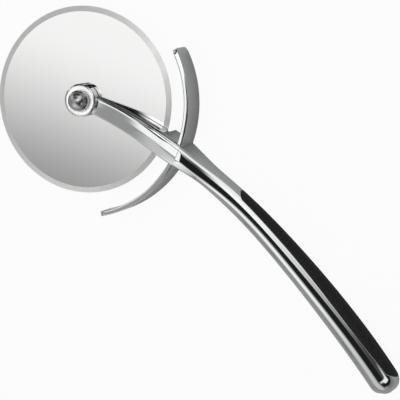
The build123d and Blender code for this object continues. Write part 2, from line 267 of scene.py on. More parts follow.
def inlay_tool(end_margin, side_margin, floor):
    """Solid that the inlay's plan outline sweeps from a floor over the handle's line to above its back.
    The outline is an ellipse's quarter at each end and one smooth curve along each side."""
    start = JOINT[0] + INLAY_START + end_margin
    end = start + INLAY_LENGTH - 2 * end_margin
    half = INLAY_WIDTH / 2 - side_margin
    front, rear = start + INLAY_ROUNDS[0], end - INLAY_ROUNDS[1]
    sides = np.array(INLAY_SIDES)
    x = np.linspace(front, rear, INLAY_STEPS)
    z = half * smooth(sides[:, 0], sides[:, 1:], (x - front) / (rear - front))[:, 0]
    turn = np.linspace(0, math.pi / 2, ROUND_STEPS)[:-1]
    nose, heel = front - INLAY_ROUNDS[0] * np.cos(turn), rear + INLAY_ROUNDS[1] * np.cos(turn[::-1])
    xs = np.concatenate([nose, x, heel])
    zs = np.concatenate([z[0] * np.sin(turn), z, z[-1] * np.sin(turn[::-1])])
    low = grip_height(xs) + floor
    high = np.full_like(low, POCKET_CLEAR)
    sides = ((low, -1), (low, 1), (high, 1), (high, -1))
    ring = np.stack([np.stack([xs, y, side * zs], 1) for y, side in sides], 1)
    return make_piece("strip", [(ring, quads(len(ring), 4, around=True))])


JOINT = direction(NECK_ANGLE) * GUARD_OUTER
handle_points = np.array(
    [JOINT] + [(JOINT[0] + HANDLE_REACH * x, CROWN_HEIGHT * y) for x, y in HANDLE_LINE]
)
handle_length = curved_line(handle_points, NECK_SLOPE, -END_SLOPE, [0])[2]
start_share = -LEAD_IN / handle_length
stations = np.array(HANDLE_STATIONS)
knots = np.insert(stations[:, 0], 0, start_share)
flare = np.insert(np.zeros(len(stations)), 0, NECK_FLARE)
table = np.column_stack([np.concatenate([[HANDLE_START], stations[:, 1:]]), flare])
# rings stand closer together in the neck, the first fifth, where the section changes most
NECK_SHARE, NECK_RINGS, GRIP_RINGS, END_STEPS = 0.2, 70, 150, 33
shares = np.concatenate([
    np.linspace(start_share, NECK_SHARE, NECK_RINGS), np.linspace(NECK_SHARE, 1, GRIP_RINGS)[1:],
])
rows = smooth(knots, table, shares)
place, along, _ = curved_line(handle_points, NECK_SLOPE, -END_SLOPE, shares)
rings = section_rings(rows[:, :9], rows[:, 9])
sweep = on_line(place, along, rings)
count, around = sweep.shape[:2]
# the end is half of the last section turned half round on its own middle line
half = rings[-1, : around // 2 + 1]
turn = np.linspace(0, math.pi, END_STEPS)[:, None, None]
left = np.array([-along[-1, 1], along[-1, 0]])
flat = place[-1] + half[:, 1:] * left + half[:, :1] * np.sin(turn) * along[-1]
tip = np.concatenate([flat, half[:, :1] * np.cos(turn)], 2)
whole = [
    (sweep, quads(count, around, around=True) + [list(range(around))]),
    (tip, quads(*tip.shape[:2])),
]
handle = make_piece("handle", whole)
pegs = [INLAY_START + INLAY_LENGTH * share + JOINT[0] for share in PEG_PLACES]
pegs = [(x, grip_height(x) + CARRIER_FLOOR) for x in pegs]
guard_disc = [(0, -CLEAR), (GUARD_OUTER, -CLEAR), (GUARD_OUTER, CLEAR), (0, CLEAR)]
machine(
    handle,
    ("DIFFERENCE", turned("guard_face", guard_disc, GUARD_STEPS)),
    ("DIFFERENCE", inlay_tool(0, 0, LEDGE)),
    ("DIFFERENCE", inlay_tool(*CARRIER_MARGINS, CARRIER_FLOOR)),
    *[("DIFFERENCE", column(peg, (0, 1), PEG_HOLE_RADIUS, -PEG_HOLE_DEPTH, BORE_CLEAR)) for peg in pegs],
    *screw_bores(SCREW_HOLE_RADIUS, -BORE_CLEAR, SCREW_HOLE_END),
)
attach(handle, "root")
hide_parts("handle_casting")


def linear(colour):
    """Linear colour, with full cover, of an sRGB hex value: ((c + 0.055) / 1.055) ** 2.4 for each
    part, or c / 12.92 where it is dark."""
    parts = [int(colour[i : i + 2], 16) / 255 for i in (1, 3, 5)]
    return [c / 12.92 if c <= 0.04045 else ((c + 0.055) / 1.055) ** 2.4 for c in parts] + [1.0]


def add(tree, kind, inputs=None, **settings):
    """Adds a node with its own settings, gives each named socket a value or a link, and returns the
    node's outputs."""
    node = tree.nodes.new(kind)
    for key, value in settings.items():
        setattr(node, key, value)
    for key, value in (inputs or {}).items():
        if isinstance(value, bpy.types.NodeSocket):
            tree.links.new(value, node.inputs[key])
        else:
            node.inputs[key].default_value = value
    return node.outputs


def finish_of(name):
    """A new material of that name with an empty node tree."""
    finish = bpy.data.materials.new(name)
    finish.use_nodes = True
    finish.node_tree.nodes.clear()
    return finish, finish.node_tree


# Decorative chrome plate over a hand-polished zinc casting. The plate is a mirror; what tells it from
# plain steel is its slight blue and the long soft waves that the polishing mops leave, 4 mm across,
# with a faint haze of finer mop lines, 1.1 mm across. Cast edges under the plate are 0.3 mm round.
# A pattern's scale counts its patches to the metre, here and below, and CAST_EDGE is in metres.
MOP_WAVES, MOP_HAZE, CAST_EDGE = 250.0, 900.0, 0.0003
chrome, tree = finish_of("polished_chrome_plate")
place_on = add(tree, "ShaderNodeTexCoord")["Object"]
waves = add(tree, "ShaderNodeTexNoise", {"Vector": place_on, "Scale": MOP_WAVES, "Detail": 1.0})["Fac"]
haze = add(tree, "ShaderNodeTexNoise", {"Vector": place_on, "Scale": MOP_HAZE, "Detail": 3.0})["Fac"]
rough = add(
    tree, "ShaderNodeMapRange",
    {"Value": haze, "From Min": 0.3, "From Max": 0.7, "To Min": 0.035, "To Max": 0.075},
)[0]
edge = add(tree, "ShaderNodeBevel", {"Radius": CAST_EDGE}, samples=6)["Normal"]
bump = add(
    tree, "ShaderNodeBump", {"Strength": 0.12, "Distance": 0.00004, "Height": waves, "Normal": edge}
)["Normal"]
tint = add(
    tree, "ShaderNodeMix",
    {"Factor": haze, 6: linear("#c3c5c6"), 7: linear("#c6c7c7")}, data_type="RGBA",
)[2]
skin = add(
    tree, "ShaderNodeBsdfPrincipled",
    {"Base Color": tint, "Metallic": 1.0, "Roughness": rough, "Normal": bump},
)[0]
add(tree, "ShaderNodeOutputMaterial", {"Surface": skin})
handle.data.materials.clear()
handle.data.materials.append(chrome)

# ---------------------------------------------------------------- grip carrier
# Stiff core of the soft inlay, a moulding of black polypropylene whose three pegs sit in the bottom of
# the handle's pocket. The inlay is moulded over it, so only its solid form from the frame is needed.

# Black polypropylene as moulded: a dull, slightly waxy surface with 0.5 mm mould texture.
MOULD_GRAIN = 2000.0
core_plastic, tree = finish_of("moulded_black_polypropylene")
place_on = add(tree, "ShaderNodeTexCoord")["Object"]
grain = add(tree, "ShaderNodeTexNoise", {"Vector": place_on, "Scale": MOULD_GRAIN})["Fac"]
shade = add(
    tree, "ShaderNodeMix", {"Factor": grain, 6: linear("#232324"), 7: linear("#2b2b2c")}, data_type="RGBA"
)[2]
bump = add(tree, "ShaderNodeBump", {"Strength": 0.2, "Distance": 0.00003, "Height": grain})["Normal"]
skin = add(
    tree, "ShaderNodeBsdfPrincipled", {"Base Color": shade, "Roughness": 0.5, "IOR": 1.49, "Normal": bump}
)[0]
add(tree, "ShaderNodeOutputMaterial", {"Surface": skin})
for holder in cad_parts["grip_carrier"].material_slots:
    holder.material = core_plastic

# ---------------------------------------------------------------- soft inlay
# Strip of matte black elastomer let into the handle's back, flush with the metal round it. It is
# moulded over the carrier and pressed into the pocket with it, with a hairline gap all round.
INLAY_GAP, CARRIER_TOP = 0.06, 1.6
inlay = make_piece("soft_inlay", whole)
strip = inlay_tool(INLAY_GAP, INLAY_GAP, LEDGE)
key = inlay_tool(*(margin + INLAY_GAP for margin in CARRIER_MARGINS), CARRIER_TOP)
machine(strip, ("UNION", key))
machine(inlay, ("INTERSECT", strip))
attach(inlay, "root")
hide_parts("grip_inlay")

# Black thermoplastic elastomer from a spark-eroded mould: dead matte, with a fine pebble that real
# grips have at 0.1 mm, drawn 0.35 mm so that it shows, and paler flecks where light catches it.
PEBBLES, FLECKS = 2850.0, 1100.0
soft_black, tree = finish_of("spark_textured_black_elastomer")
place_on = add(tree, "ShaderNodeTexCoord")["Object"]
pebble = add(tree, "ShaderNodeTexVoronoi", {"Vector": place_on, "Scale": PEBBLES})["Distance"]
cloud = add(tree, "ShaderNodeTexNoise", {"Vector": place_on, "Scale": FLECKS, "Detail": 4.0})["Fac"]
fleck = add(tree, "ShaderNodeMapRange", {"Value": cloud, "From Min": 0.42, "From Max": 0.72})[0]
shade = add(
    tree, "ShaderNodeMix", {"Factor": fleck, 6: linear("#121212"), 7: linear("#252526")}, data_type="RGBA"
)[2]
rough = add(tree, "ShaderNodeMapRange", {"Value": cloud, "To Min": 0.62, "To Max": 0.8})[0]
bump = add(tree, "ShaderNodeBump", {"Strength": 0.5, "Distance": 0.00005, "Height": pebble})["Normal"]
skin = add(
    tree, "ShaderNodeBsdfPrincipled",
    {"Base Color": shade, "Roughness": rough, "IOR": 1.48, "Specular IOR Level": 0.3, "Normal": bump},
)[0]
add(tree, "ShaderNodeOutputMaterial", {"Surface": skin})
inlay.data.materials.clear()
inlay.data.materials.append(soft_black)

# ---------------------------------------------------------------- finger guard
# Crescent band of the same plated zinc, bent round the rim to keep fingers off the wheel. It is one
# strip with round-cornered tips, trapped between the arm's root and the neck by the clamp screws.
GUARD_INNER, GUARD_THICKNESS, GUARD_EDGE = 60.0, 2.6, 0.35
GUARD_ANGLE, GUARD_SPREAD, GUARD_HALF = 14.7, 53.5, 9.2
TIP_NARROWING, TIP_CORNER = 1.4, 3.0
# the screws' clearance holes, bored from well inside the band to well outside it
SCREW_CLEARANCE_RADIUS, GUARD_BORE = 1.65, (-8, 4)
# steps up the tip, round its corner, along the side, round an edge and across a face
TIP_STEPS, CORNER_STEPS, SIDE_STEPS, EDGE_STEPS, FACE_STEPS = 3, 10, 60, 6, 9


def guard_band():
    """Rings across the band, one for each point of its outline laid flat: the outline runs along the
    side, round the tip's corner and back, each ring rounds its two edges by a quarter circle, and the
    flat lengths become angles about the wheel, a = length / middle radius."""
    middle = (GUARD_INNER + GUARD_OUTER) / 2
    reach = math.radians(GUARD_SPREAD) * middle
    turn = np.linspace(0, math.pi / 2, CORNER_STEPS)[1:]
    run = np.linspace(reach - TIP_CORNER, 0, SIDE_STEPS)[1:]
    corner_top = GUARD_HALF - TIP_NARROWING * (reach - TIP_CORNER) / reach
    length = np.concatenate([np.full(TIP_STEPS, reach), reach - TIP_CORNER * (1 - np.cos(turn)), run])
    height = np.concatenate([
        np.linspace(0, corner_top - TIP_CORNER, TIP_STEPS),
        corner_top - TIP_CORNER * (1 - np.sin(turn)),
        GUARD_HALF - TIP_NARROWING * run / reach,
    ])
    there, back = np.stack([length, height], 1), np.stack([-length[-2::-1], height[-2::-1]], 1)
    outline = np.concatenate([there, back])
    heading = np.gradient(outline, axis=0)
    heading /= np.linalg.norm(heading, axis=1)[:, None]
    outward = np.stack([heading[:, 1], -heading[:, 0]], 1)
    outward *= np.sign((outward * (outline - (0, 0.01))).sum(1))[:, None]
    outward[0], outward[-1] = (1, 0), (-1, 0)
    turn = np.linspace(0, math.pi / 2, EDGE_STEPS)
    inset = GUARD_EDGE * np.concatenate([1 - np.sin(turn), 1 - np.cos(turn)])
    level = np.concatenate(
        [GUARD_INNER + GUARD_EDGE * (1 - np.cos(turn)), GUARD_OUTER - GUARD_EDGE * (1 - np.sin(turn))]
    )
    edge = outline[:, None] - outward[:, None] * inset[None, :, None]
    edge[..., 1] = np.maximum(edge[..., 1], 0)
    upper = np.stack([edge[..., 0], np.broadcast_to(level, edge.shape[:2]), edge[..., 1]], 2)
    lower = upper[:, ::-1] * (1, 1, -1)
    across = np.linspace(0, 1, FACE_STEPS)[1:-1, None]
    outer_face = upper[:, -1:] * (1 - across) + lower[:, :1] * across
    inner_face = lower[:, -1:] * (1 - across) + upper[:, :1] * across
    band = np.concatenate([upper, outer_face, lower, inner_face], 1)
    angle = band[..., 0] / middle + math.radians(GUARD_ANGLE)
    return np.stack([band[..., 1] * np.cos(angle), band[..., 1] * np.sin(angle), band[..., 2]], 2)


band = guard_band()
guard = make_piece("crescent_guard", [(band, quads(*band.shape[:2], around=True))])
machine(guard, *screw_bores(SCREW_CLEARANCE_RADIUS, *GUARD_BORE))
guard.data.materials.clear()
guard.data.materials.append(chrome)
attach(guard, "root")
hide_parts("finger_guard")

# ---------------------------------------------------------------- arm casting
# Second plated zinc casting: the hub's boss, the arm on one face of the wheel and the full-depth root
# outside the rim, hollowed by the wheel's own sweep. It is slotted over the guard, and the two clamp
# screws go in from the root's hollow face through counterbores.
ROOT_RADIUS, ARM_BACK, HUB_SLOPE = 51.5, 1.2, 20.4
ARM_LINE = [(0.0, 0.02), (0.198, 0.296), (0.545, 0.695), (0.892, 0.945), (1.0, 1.0)]
ARM_STATIONS = [
    (0.034, 0.56, 0.29, 0.31, -0.07, 0.22, -0.61, 0.14, 0.11, 0.08),
    (0.204, 0.62, 0.40, 0.42, -0.05, 0.35, -0.63, 0.18, 0.14, 0.12),
    (0.553, 0.77, 0.81, 0.835, 0.035, 0.70, -0.65, 0.29, 0.18, 0.15),
    (0.895, 0.78, 0.975, 1.0, 0.035, 0.88, -0.71, 0.33, 0.19, 0.18),
    (1.0, 0.76, 0.975, 1.0, 0.025, 0.89, -0.69, 0.32, 0.19, 0.20),
]
BOSS_RADIUS, BOSS_FRONT, BOSS_EDGE, BOSS_FLOOR = 8.85, 6.3, 0.9, 3.9
RING_RADIUS, RING_CLEARANCE, BOLT_HOLE = 7.9, 0.05, 2.2
SCREW_GRIP, COUNTERBORE_RADIUS, COUNTERBORE_START = 3.0, 2.9, -40
# where the tools for the ring's seat, the bolt's hole and the guard's slot end, clear of the metal, and
# how far the screws' bores start inside their counterbores
SEAT_CLEAR, HOLE_CLEAR, SLOT_CLEAR, BORE_OVERLAP = 12, 5, 70, 1
HUB_STEPS, SWEEP_STEPS, HOLE_STEPS, BOSS_EDGE_STEPS, ARM_RINGS = 128, 360, 64, 9, 120
SCREW_SEAT = -GUARD_THICKNESS - SCREW_GRIP
arm_points = np.array(ARM_LINE) * JOINT
arm_length = curved_line(arm_points, HUB_SLOPE, NECK_SLOPE, [0])[2]
shares = np.linspace(ARM_STATIONS[0][0], 1 + LEAD_IN / arm_length, ARM_RINGS)
place, along, _ = curved_line(arm_points, HUB_SLOPE, NECK_SLOPE, shares)
stations = np.array(ARM_STATIONS)
knots = np.append(stations[:, 0], 1 + LEAD_IN / arm_length)
rows = smooth(knots, np.concatenate([stations[:, 1:], stations[-1:, 1:]]), shares)
arm = make_piece("one_sided_arm", [capped(on_line(place, along, section_rings(rows, np.zeros(len(rows)))))])
turn = np.linspace(math.pi / 2, 0, BOSS_EDGE_STEPS)
edge_radii = BOSS_RADIUS - BOSS_EDGE * (1 - np.sin(turn))
edge_heights = BOSS_FRONT - BOSS_EDGE * (1 - np.cos(turn))
boss_edge = np.stack([edge_radii, edge_heights], 1)
boss = [(0, ARM_BACK), (BOSS_RADIUS, ARM_BACK), *boss_edge, (0, BOSS_FRONT)]
wheel_sweep = [(0, ARM_BACK), (ROOT_RADIUS, ARM_BACK), (ROOT_RADIUS, -CLEAR), (0, -CLEAR)]
SEAT = RING_RADIUS + RING_CLEARANCE
ring_seat = [(0, BOSS_FLOOR), (SEAT, BOSS_FLOOR), (SEAT, SEAT_CLEAR), (0, SEAT_CLEAR)]
bolt_hole = [(0, 0), (BOLT_HOLE, 0), (BOLT_HOLE, HOLE_CLEAR), (0, HOLE_CLEAR)]
guard_slot = [
    (GUARD_INNER, -GUARD_HALF), (SLOT_CLEAR, -GUARD_HALF),
    (SLOT_CLEAR, GUARD_HALF), (GUARD_INNER, GUARD_HALF),
]
machine(
    arm,
    ("DIFFERENCE", turned("sweep", wheel_sweep, SWEEP_STEPS)),
    ("UNION", turned("boss", boss, HUB_STEPS)),
    ("DIFFERENCE", turned("seat", ring_seat, HUB_STEPS)),
    ("DIFFERENCE", turned("bolt_hole", bolt_hole, HOLE_STEPS)),
    ("INTERSECT", turned("outside", guard_disc, GUARD_STEPS)),
    ("DIFFERENCE", turned("slot", guard_slot, GUARD_STEPS)),
    *screw_bores(SCREW_CLEARANCE_RADIUS, SCREW_SEAT - BORE_OVERLAP, BORE_CLEAR),
    *screw_bores(COUNTERBORE_RADIUS, COUNTERBORE_START, SCREW_SEAT),
)
arm.data.materials.clear()
arm.data.materials.append(chrome)
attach(arm, "root")
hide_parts("arm_casting")

# ---------------------------------------------------------------- clamp screws
# Two M3 socket head screws of zinc plated steel, seen end on in the root's hollow face. They pull the
# arm, the guard and the handle together.

# Clear zinc plate on cold-headed steel: a duller, bluish grey metal, mottled by the plating bath in
# patches about 1 mm wide, with an even low gloss.
PLATING_PATCHES = 1000.0
screw_steel, tree = finish_of("zinc_plated_steel")
place_on = add(tree, "ShaderNodeTexCoord")["Object"]
mottle = add(
    tree, "ShaderNodeTexNoise", {"Vector": place_on, "Scale": PLATING_PATCHES, "Detail": 3.0}
)["Fac"]
tint = add(
    tree, "ShaderNodeMix", {"Factor": mottle, 6: linear("#a9acb0"), 7: linear("#b9babb")}, data_type="RGBA"
)[2]
rough = add(tree, "ShaderNodeMapRange", {"Value": mottle, "To Min": 0.22, "To Max": 0.36})[0]
bump = add(tree, "ShaderNodeBump", {"Strength": 0.2, "Distance": 0.00002, "Height": mottle})["Normal"]
skin = add(
    tree, "ShaderNodeBsdfPrincipled",
    {"Base Color": tint, "Metallic": 1.0, "Roughness": rough, "Normal": bump},
)[0]
add(tree, "ShaderNodeOutputMaterial", {"Surface": skin})
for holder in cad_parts["clamp_screws"].material_slots:
    holder.material = screw_steel

# ---------------------------------------------------------------- wheel
# Disc of hardened stainless sheet, mirror polished on both faces, its rim ground to an edge by a
# bevel on each side. A flanged bush is pressed in its middle.
BLADE_RADIUS, HALF_BLADE, BEVEL_WIDTH, RIM, BUSH_RADIUS = 50.0, 0.6, 2.9, 0.15, 5.0
RIM_STEPS, RIM_SHARP = 360, 5
flat = BLADE_RADIUS - BEVEL_WIDTH
blade = turned(
    "cutting_wheel",
    [
        (BUSH_RADIUS, HALF_BLADE), (flat, HALF_BLADE), (BLADE_RADIUS, RIM),
        (BLADE_RADIUS, -RIM), (flat, -HALF_BLADE), (BUSH_RADIUS, -HALF_BLADE),
    ],
    RIM_STEPS, RIM_SHARP,
)
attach(blade, "wheel")
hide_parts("blade")


def on_wheel(tree, pitch):
    """Place about the wheel's centre, and uneven rings: noise read at sqrt(x * x + y * y) / pitch alone,
    so each ring, about one pitch in metres wide, is the same all the way round."""
    place_on = add(tree, "ShaderNodeTexCoord")["Object"]
    about = add(tree, "ShaderNodeMapping", {"Vector": place_on, "Location": -WHEEL / 1000})["Vector"]
    flat_part = add(tree, "ShaderNodeVectorMath", {0: about, 1: (1, 1, 0)}, operation="MULTIPLY")["Vector"]
    radius = add(tree, "ShaderNodeVectorMath", {0: flat_part}, operation="LENGTH")["Value"]
    rings = {"W": radius, "Scale": 1 / pitch, "Detail": 2.0}
    return about, add(tree, "ShaderNodeTexNoise", rings, noise_dimensions="1D")["Fac"]


# Martensitic stainless sheet polished to a mirror while the disc turned: a clear reflection that is
# only just softened, in hair-fine rings of about 0.6 mm, and clouds of tone some 17 mm across.
POLISH_PITCH, SHEET_CLOUDS = 0.0006, 60.0
mirror, tree = finish_of("mirror_polished_stainless")
about, lines = on_wheel(tree, POLISH_PITCH)
cloud = add(tree, "ShaderNodeTexNoise", {"Vector": about, "Scale": SHEET_CLOUDS, "Detail": 2.0})["Fac"]
rough = add(
    tree, "ShaderNodeMapRange",
    {"Value": lines, "From Min": 0.3, "From Max": 0.7, "To Min": 0.03, "To Max": 0.055},
)[0]
tint = add(
    tree, "ShaderNodeMix", {"Factor": cloud, 6: linear("#c4c5c4"), 7: linear("#c7c7c6")}, data_type="RGBA"
)[2]
bump = add(tree, "ShaderNodeBump", {"Strength": 0.02, "Distance": 0.000002, "Height": lines})["Normal"]
skin = add(
    tree, "ShaderNodeBsdfPrincipled",
    {"Base Color": tint, "Metallic": 1.0, "Roughness": rough, "Normal": bump},
)[0]
add(tree, "ShaderNodeOutputMaterial", {"Surface": skin})

# The bevel is the same steel left as it came from the grinding wheel: satin, with deeper rings every
# 0.25 mm and patches about 8 mm across, where the stone cut more or less.
GRIND_PITCH, STONE_PATCHES = 0.00025, 130.0
ground, tree = finish_of("ground_stainless_bevel")
about, lines = on_wheel(tree, GRIND_PITCH)
patches = add(tree, "ShaderNodeTexNoise", {"Vector": about, "Scale": STONE_PATCHES, "Detail": 3.0})["Fac"]
rough = add(
    tree, "ShaderNodeMapRange",
    {"Value": patches, "From Min": 0.3, "From Max": 0.7, "To Min": 0.42, "To Max": 0.48},
)[0]
tint = add(
    tree, "ShaderNodeMix", {"Factor": lines, 6: linear("#d6d7d6"), 7: linear("#e2e2e0")}, data_type="RGBA"
)[2]
bump = add(tree, "ShaderNodeBump", {"Strength": 0.1, "Distance": 0.000003, "Height": lines})["Normal"]
skin = add(
    tree, "ShaderNodeBsdfPrincipled",
    {"Base Color": tint, "Metallic": 1.0, "Roughness": rough, "Normal": bump},
)[0]
add(tree, "ShaderNodeOutputMaterial", {"Surface": skin})
blade.data.materials.clear()
blade.data.materials.append(mirror)
blade.data.materials.append(ground)
# faces whose middle lies more than 0.1 mm outside the flat take the ground finish
centres = np.zeros(len(blade.data.polygons) * 3, np.float32)
blade.data.polygons.foreach_get("center", centres)
on_bevel = np.hypot(*(centres.reshape(-1, 3)[:, :2] * 1000 - WHEEL[:2]).T) > flat + 0.1
blade.data.polygons.foreach_set("material_index", on_bevel.astype(np.int32))

# ---------------------------------------------------------------- bush and near washer
# The bush pressed in the wheel and the thin washer that keeps it off the boss are turned from white
# acetal rod, which runs on the bolt without grease.

# Natural acetal as turned: a hard white that lets a little light in, with 0.3 mm tool rings and a
# soft sheen.
TOOL_PITCH, ACETAL_CLOUDS = 0.0003, 300.0
# the hub ring below also wears this white, as a painted reflection
white_acetal_and_ring_reflection, tree = finish_of("white_acetal_and_painted_ring_reflection")
about, lines = on_wheel(tree, TOOL_PITCH)
cloud = add(tree, "ShaderNodeTexNoise", {"Vector": about, "Scale": ACETAL_CLOUDS, "Detail": 2.0})["Fac"]
shade = add(
    tree, "ShaderNodeMix", {"Factor": cloud, 6: linear("#f6f6f3"), 7: linear("#fcfcfa")}, data_type="RGBA"
)[2]
rough = add(tree, "ShaderNodeMapRange", {"Value": lines, "To Min": 0.28, "To Max": 0.4})[0]
bump = add(tree, "ShaderNodeBump", {"Strength": 0.1, "Distance": 0.00001, "Height": lines})["Normal"]
skin = add(
    tree, "ShaderNodeBsdfPrincipled",
    {
        "Base Color": shade, "Roughness": rough, "IOR": 1.48, "Normal": bump,
        "Subsurface Weight": 0.15, "Subsurface Radius": (0.001, 0.001, 0.001), "Subsurface Scale": 0.3,
    },
)[0]
add(tree, "ShaderNodeOutputMaterial", {"Surface": skin})
for name in ("hub_bushing", "near_washer"):
    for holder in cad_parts[name].material_slots:
        holder.material = white_acetal_and_ring_reflection

# ---------------------------------------------------------------- spring and far washers
# A bent spring washer takes up the wheel's play behind it, and a flat one spreads its push over the
# bush's flange. Both are punched from steel strip and plated like the screws.
for name in ("spring_washer", "far_washer"):
    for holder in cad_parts[name].material_slots:
        holder.material = screw_steel

# ---------------------------------------------------------------- axle bolt
# Shoulder bolt of stainless steel, turned from bar. It goes from behind the wheel through the bush and
# the boss, and its low round head keeps the wheel on.

# Turned and polished stainless: brighter than the screws, with fine tool rings at 0.4 mm that were
# nearly polished away.
BOLT_PITCH, BOLT_CLOUDS = 0.0004, 400.0
bolt_steel, tree = finish_of("polished_turned_stainless")
about, lines = on_wheel(tree, BOLT_PITCH)
rough = add(tree, "ShaderNodeMapRange", {"Value": lines, "To Min": 0.1, "To Max": 0.2})[0]
cloud = add(tree, "ShaderNodeTexNoise", {"Vector": about, "Scale": BOLT_CLOUDS, "Detail": 2.0})["Fac"]
tint = add(
    tree, "ShaderNodeMix", {"Factor": cloud, 6: linear("#c0c1c1"), 7: linear("#c8c8c7")}, data_type="RGBA"
)[2]
bump = add(tree, "ShaderNodeBump", {"Strength": 0.1, "Distance": 0.000003, "Height": lines})["Normal"]
skin = add(
    tree, "ShaderNodeBsdfPrincipled",
    {"Base Color": tint, "Metallic": 1.0, "Roughness": rough, "Normal": bump},
)[0]
add(tree, "ShaderNodeOutputMaterial", {"Surface": skin})
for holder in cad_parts["axle_bolt"].material_slots:
    holder.material = bolt_steel

# ---------------------------------------------------------------- hub ring
# Ring, turned like the bush and let into the boss, and given the bush's white: a painted reflection that
# stands for the bright band on the boss's polished face round the nut. It is flat under the ball nut and
# rises a little to its rim.
RING_TOP, RING_RIM, RING_BORE, RING_FLAT = 5.3, 5.95, 3.15, 5.75
ring_outline = [
    (RING_BORE, BOSS_FLOOR), (RING_RADIUS, BOSS_FLOOR), (RING_RADIUS, RING_RIM),
    (RING_FLAT, RING_TOP), (RING_BORE, RING_TOP),
]
ring = turned("hub_ring", ring_outline, HUB_STEPS)
ring.data.materials.clear()
# the white here is a painted reflection, not the ring's own colour
ring.data.materials.append(white_acetal_and_ring_reflection)
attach(ring, "root")
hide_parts("bezel_ring")

# ---------------------------------------------------------------- ball nut
# Polished steel ball on a spigot, drilled and tapped from below, which screws on the axle bolt and
# covers its end.
WAIST, BALL_RADIUS, SPIGOT, THREAD, NUT_FOOT, NUT_BORE_END = 7.15, 5.75, 3.1, 2.0, 3.92, 7.92
DOME_STEPS = 40
turn = np.linspace(-math.asin((WAIST - RING_TOP) / BALL_RADIUS), math.pi / 2, DOME_STEPS)
dome = np.stack([BALL_RADIUS * np.cos(turn), WAIST + BALL_RADIUS * np.sin(turn)], 1)
foot = [(THREAD, NUT_FOOT), (SPIGOT, NUT_FOOT), (SPIGOT, RING_TOP)]
bore = [(0, NUT_BORE_END), (THREAD, NUT_BORE_END)]
ball = turned("ball_nut_dome", [*foot, *dome, *bore], HUB_STEPS)
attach(ball, "root")
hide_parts("ball_nut")

# Bearing-ball steel, lapped but not buffed: softer in what it mirrors, with the faintest cloud of
# fingermarks, about 2 mm across. Its colour is painted darker than the chrome round it, as painted shade
# for the dark the ball mirrors.
FINGERMARKS = 500.0
darkened_ball_steel, tree = finish_of("ball_steel_painted_darker")
place_on = add(tree, "ShaderNodeTexCoord")["Object"]
cloud = add(tree, "ShaderNodeTexNoise", {"Vector": place_on, "Scale": FINGERMARKS, "Detail": 3.0})["Fac"]
rough = add(
    tree, "ShaderNodeMapRange",
    {"Value": cloud, "From Min": 0.35, "From Max": 0.7, "To Min": 0.22, "To Max": 0.26},
)[0]
# painted shade: both tones are set darker than polished steel so that the ball mirrors darker
tint = add(
    tree, "ShaderNodeMix", {"Factor": cloud, 6: linear("#a6a6a8"), 7: linear("#acacac")}, data_type="RGBA"
)[2]
skin = add(tree, "ShaderNodeBsdfPrincipled", {"Base Color": tint, "Metallic": 1.0, "Roughness": rough})[0]
add(tree, "ShaderNodeOutputMaterial", {"Surface": skin})
ball.data.materials.clear()
ball.data.materials.append(darkened_ball_steel)

# ---------------------------------------------------------------- studio
# White table under the tool. A large soft panel hangs over its back half, a low card stands before
# the handle, and a broad front reflector fades downward. The dark gaps between them draw the black
# lines that polished metal needs.


def card(name, low, high):
    """Flat studio card between its lowest and highest corners in metres, which lights and is mirrored
    but isn't seen by the camera and throws no shadow. Gives its node tree and its places."""
    mesh = bpy.data.meshes.new(name)
    mesh.from_pydata([low, (high[0], *low[1:]), high, (low[0], *high[1:])], [], [(0, 1, 2, 3)])
    piece = bpy.data.objects.new(name, mesh)
    scene.collection.objects.link(piece)
    piece.visible_camera = piece.visible_shadow = False
    finish, tree = finish_of(name)
    mesh.materials.append(finish)
    place_on = add(tree, "ShaderNodeTexCoord")["Object"]
    return tree, add(tree, "ShaderNodeSeparateXYZ", {"Vector": place_on})


def window(tree, at, *edges):
    """Product of soft steps t * t * (3 - 2 * t), one for each edge: t is 0 at the edge's first place
    along its axis and 1 at its second, whichever of the two is higher."""
    cover = 1.0
    for axis, shut, full in edges:
        limits = {"Value": at[axis], "From Min": shut, "From Max": full}
        step = add(tree, "ShaderNodeMapRange", limits, interpolation_type="SMOOTHSTEP")[0]
        cover = add(tree, "ShaderNodeMath", {0: cover, 1: step}, operation="MULTIPLY")[0]
    return cover


def shine(tree, strength, cover):
    """Lets a card glow with a strength where cover is 1 and be clear where it is 0."""
    glow = add(tree, "ShaderNodeEmission", {"Strength": strength})[0]
    clear = add(tree, "ShaderNodeBsdfTransparent")[0]
    mixed = add(tree, "ShaderNodeMixShader", {"Fac": cover, 1: clear, 2: glow})[0]
    add(tree, "ShaderNodeOutputMaterial", {"Surface": mixed})


# Overhead panel of stretched white cloth: strong on the left, weak over the grip, and even again in
# its depth, over the neck, until it dims far behind.
PANEL_HEIGHT = 0.6
PANEL_LEFT, PANEL_RIGHT, PANEL_DEEP, PANEL_FAR = 1.875, 0.09, 1.5, 0.6
tree, at = card("overhead_panel", (-0.62, -0.03, PANEL_HEIGHT), (0.3, 2.3, PANEL_HEIGHT))
near = add(
    tree, "ShaderNodeMapRange",
    {"Value": at["X"], "From Min": -0.13, "From Max": 0.16, "To Min": PANEL_LEFT, "To Max": PANEL_RIGHT},
    interpolation_type="SMOOTHSTEP",
)[0]
deep = window(tree, at, ("Y", 0.15, 0.4), ("X", 0.17, 0.13))
near = add(tree, "ShaderNodeMix", {"Factor": deep, 2: near, 3: PANEL_DEEP})[0]
far = window(tree, at, ("Y", 0.85, 2.2))
glow = add(tree, "ShaderNodeMix", {"Factor": far, 2: near, 3: PANEL_FAR})[0]
# A hole in it stands for the black flag that the arm's back face mirrors.
round_flag = 0.0
for edge in (("X", -0.255, -0.235), ("Y", 0.06, 0.03), ("Y", 0.42, 0.5)):
    beyond = window(tree, at, edge)
    round_flag = add(tree, "ShaderNodeMath", {0: round_flag, 1: beyond}, operation="MAXIMUM")[0]
cover = window(tree, at, ("Y", -0.028, -0.012), ("X", -0.6, -0.5))
cover = add(tree, "ShaderNodeMath", {0: cover, 1: round_flag}, operation="MULTIPLY")[0]
shine(tree, glow, cover)

